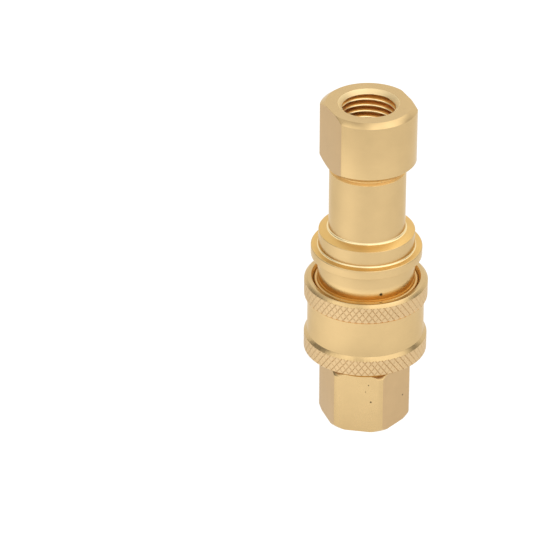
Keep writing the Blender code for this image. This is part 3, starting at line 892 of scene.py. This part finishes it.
# ---------------------------------------------------------------- floor, light and camera


CAMERA_AZIMUTH = 10.5                   # degrees, from -Y towards +X
CAMERA_ELEVATION = 30.3
CAMERA_DISTANCE = 0.790
CAMERA_AIM_Z = 38.35 * MM
CAMERA_OFFSET = 22.5 * MM               # the coupling's distance right of the aim
CAMERA_LENS = 236.4
FLOOR_DROP = 0.00002                    # keeps the floor off the hexagon's face

# patches of the floor: azimuth, distance and reach in metres, added glow
FLOOR_SPOTS = [
    (-60.0, 0.1, 0.11, 0.36),
    (38.0, 0.1, 0.13, 0.18),
    (-25.0, 0.09, 0.12, 0.12),
    (-21.0, 0.025, 0.03, 0.1),
    (-141.0, 0.025, 0.045, -0.04),
]
FLOOR_GLOW = 0.84

# soft boxes in the studio's dome: azimuth, elevation, inner and outer half angle, added brightness
SOFT_BOXES = [
    (-56.0, 46.0, 3.0, 31.0, 1.15),
    (47.0, 38.0, 8.0, 51.0, 1.32),
    (173.0, 22.0, 30.0, 68.0, 0.82),
    (-4.0, 71.0, 2.0, 22.0, 0.85),
    (125.0, 66.0, 9.0, 35.0, 0.98),
    (-14.0, 15.0, 6.0, 42.0, 1.13),
    (-112.0, 58.0, 10.0, 36.0, 0.5),
]
DOME_LEVEL = 0.3


def toward(azimuth, elevation):
    """Direction at an azimuth and elevation, in degrees, where azimuth 0 is the camera's side."""
    turn = radians(CAMERA_AZIMUTH + azimuth)
    tilt = radians(elevation)
    return Vector((cos(tilt) * sin(turn), -cos(tilt) * cos(turn), sin(tilt)))


def make_floor():
    """A white dish: flat under the coupling, rising to a low wall far off. It glows a little, so that the
    coupling's shadow stays faint."""
    rings = [(0.0, 0.0), (0.2, 0.0), (1.5, 0.0), (1.8, 0.05), (2.0, 0.2), (2.1, 0.5)]
    count = 64
    vertices = [(0.0, 0.0, -FLOOR_DROP)]
    for radius, height in rings[1:]:
        for k in range(count):
            angle = TURN * k / count
            vertices.append((radius * cos(angle), radius * sin(angle), height - FLOOR_DROP))
    faces = [(0, 1 + k, 1 + (k + 1) % count) for k in range(count)]
    for ring in range(len(rings) - 2):
        inner = 1 + ring * count
        outer = inner + count
        for k in range(count):
            after = (k + 1) % count
            faces.append((inner + k, outer + k, outer + after, inner + after))
    mesh = bpy.data.meshes.new("floor")
    mesh.from_pydata(vertices, [], faces)
    mesh.shade_smooth()
    floor = bpy.data.objects.new("floor", mesh)
    bpy.context.scene.collection.objects.link(floor)

    nodes = Nodes("floor_white")
    position = nodes.add("ShaderNodeTexCoord").outputs["Object"]
    glow = FLOOR_GLOW
    for azimuth, away, reach, strength in FLOOR_SPOTS:
        centre = toward(azimuth, 0.0) * away
        gap = nodes.add("ShaderNodeVectorMath", operation="DISTANCE")
        gap.inputs[1].default_value = centre
        nodes.link(position, gap.inputs[0])
        spot = nodes.add("ShaderNodeMapRange", interpolation_type="SMOOTHSTEP")
        spot.inputs["From Min"].default_value = reach
        spot.inputs["From Max"].default_value = 0.0
        spot.inputs["To Max"].default_value = strength
        nodes.link(gap.outputs["Value"], spot.inputs["Value"])
        glow = nodes.math("ADD", spot.outputs["Result"], glow)
    nodes.shader.inputs["Base Color"].default_value = (0.2, 0.2, 0.2, 1.0)
    nodes.shader.inputs["Roughness"].default_value = 1.0
    nodes.shader.inputs["Specular IOR Level"].default_value = 0.0
    nodes.shader.inputs["Emission Color"].default_value = (1.0, 1.0, 1.0, 1.0)
    nodes.link(glow, nodes.shader.inputs["Emission Strength"])
    mesh.materials.append(nodes.material)


def make_world():
    """The studio's dome: an even dim light with soft boxes in it."""
    world = bpy.data.worlds.new("studio")
    bpy.context.scene.world = world
    world.use_nodes = True
    tree = world.node_tree
    background = tree.nodes["Background"]
    direction = tree.nodes.new("ShaderNodeTexCoord").outputs["Generated"]
    level = DOME_LEVEL
    for azimuth, elevation, inner, outer, strength in SOFT_BOXES:
        dot = tree.nodes.new("ShaderNodeVectorMath")
        dot.operation = "DOT_PRODUCT"
        dot.inputs[1].default_value = toward(azimuth, elevation)
        tree.links.new(direction, dot.inputs[0])
        box = tree.nodes.new("ShaderNodeMapRange")
        box.interpolation_type = "SMOOTHSTEP"
        box.inputs["From Min"].default_value = cos(radians(outer))
        box.inputs["From Max"].default_value = cos(radians(inner))
        box.inputs["To Max"].default_value = strength
        tree.links.new(dot.outputs["Value"], box.inputs["Value"])
        total = tree.nodes.new("ShaderNodeMath")
        total.operation = "ADD"
        tree.links.new(box.outputs["Result"], total.inputs[0])
        if isinstance(level, float):
            total.inputs[1].default_value = level
        else:
            tree.links.new(level, total.inputs[1])
        level = total.outputs[0]
    background.inputs["Color"].default_value = (1.0, 0.995, 0.985, 1.0)
    tree.links.new(level, background.inputs["Strength"])


def make_camera():
    """A long lens from above, with the coupling right of the frame's middle."""
    azimuth = radians(CAMERA_AZIMUTH)
    camera = bpy.data.cameras.new("camera")
    camera.sensor_width = 36.0
    camera.lens = CAMERA_LENS
    camera.clip_start = 0.01
    eye = bpy.data.objects.new("camera", camera)
    away = toward(0.0, CAMERA_ELEVATION)
    right = Vector((cos(azimuth), sin(azimuth), 0.0))
    aim = Vector((0.0, 0.0, CAMERA_AIM_Z)) - right * CAMERA_OFFSET
    eye.location = aim + away * CAMERA_DISTANCE
    eye.rotation_euler = away.to_track_quat("Z", "Y").to_euler()
    bpy.context.scene.collection.objects.link(eye)
    bpy.context.scene.camera = eye


make_floor()
make_world()
make_camera()
bpy.context.scene.view_settings.view_transform = "Standard"
